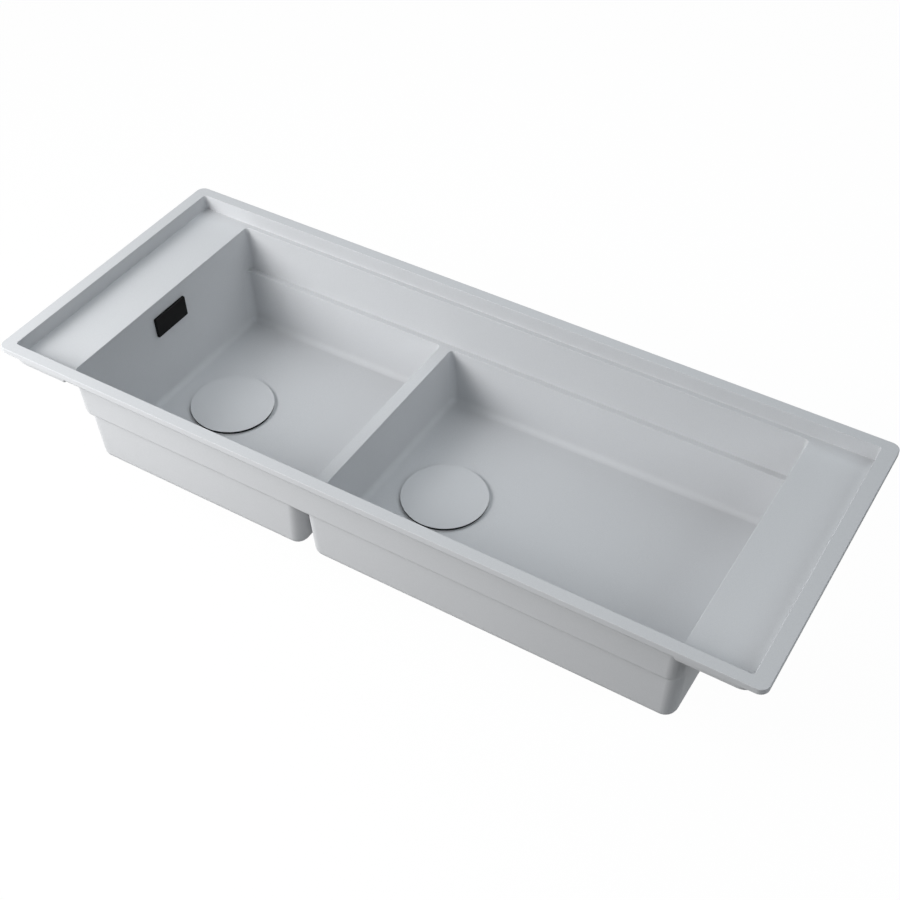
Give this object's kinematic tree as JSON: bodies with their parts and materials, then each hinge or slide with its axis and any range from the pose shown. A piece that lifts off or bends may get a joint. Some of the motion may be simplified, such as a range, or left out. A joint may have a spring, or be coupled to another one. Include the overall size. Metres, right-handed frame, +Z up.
{
  "type": "kitchen sink",
  "caption": "Inset kitchen sink in pale grey composite: a small and a large bowl in one stepped well between sunken end shelves, with covered basket wastes and an overflow.",
  "frame": {"origin": "centre of the rim's outline, in the plane of the worktop that the rim lies on", "axes": "+X along the sink's length, from the small bowl to the large one; +Y to the back; +Z up"},
  "size_m": [1.1, 0.44, 0.271],
  "materials": {
    "composite": "matte pale grey stone-filled acrylic composite, moulded, nearly plain with a very fine grain",
    "cover": "matte, in the colour of the sink",
    "steel": "satin stainless steel",
    "rubber": "matte black",
    "dark_plastic": "moulded dark grey polypropylene",
    "black_plastic": "satin black",
    "hose": "flexible ribbed dark grey plastic",
    "brass": "turned, uncoated"
  },
  "bodies": {
    "sink": {"sink_body": "composite", "left_flange_seal": "rubber", "left_waste_flange": "steel", "left_body_seal": "rubber", "left_waste_body": "dark_plastic", "left_waste_tail": "dark_plastic", "left_thread_insert": "brass", "left_centre_screw": "steel", "right_flange_seal": "rubber", "right_waste_flange": "steel", "right_body_seal": "rubber", "right_waste_body": "dark_plastic", "right_waste_tail": "dark_plastic", "right_thread_insert": "brass", "right_centre_screw": "steel", "right_inlet_cap": "dark_plastic", "overflow_cover": "black_plastic", "overflow_insert": "dark_plastic", "overflow_screws": "steel", "overflow_seal": "rubber", "overflow_housing": "dark_plastic", "overflow_hose": "hose", "hose_nuts": "dark_plastic"},
    "left_strainer": {"left_basket": "steel", "left_basket_plug": "rubber", "left_basket_stem": "steel"},
    "left_lid": {"left_cover_carrier": "black_plastic", "left_drain_cover": "cover"},
    "right_strainer": {"right_basket": "steel", "right_basket_plug": "rubber", "right_basket_stem": "steel"},
    "right_lid": {"right_cover_carrier": "black_plastic", "right_drain_cover": "cover"}
  },
  "joints": [
    {"name": "left_strainer_lift", "type": "slide", "parent": "sink", "child": "left_strainer", "axis": [0, 0, 1], "range_m": [0, 0.23]},
    {"name": "left_lid_lift", "type": "slide", "parent": "left_strainer", "child": "left_lid", "axis": [0, 0, 1], "range_m": [0, 0.2]},
    {"name": "right_strainer_lift", "type": "slide", "parent": "sink", "child": "right_strainer", "axis": [0, 0, 1], "range_m": [0, 0.23]},
    {"name": "right_lid_lift", "type": "slide", "parent": "right_strainer", "child": "right_lid", "axis": [0, 0, 1], "range_m": [0, 0.2]}
  ]
}
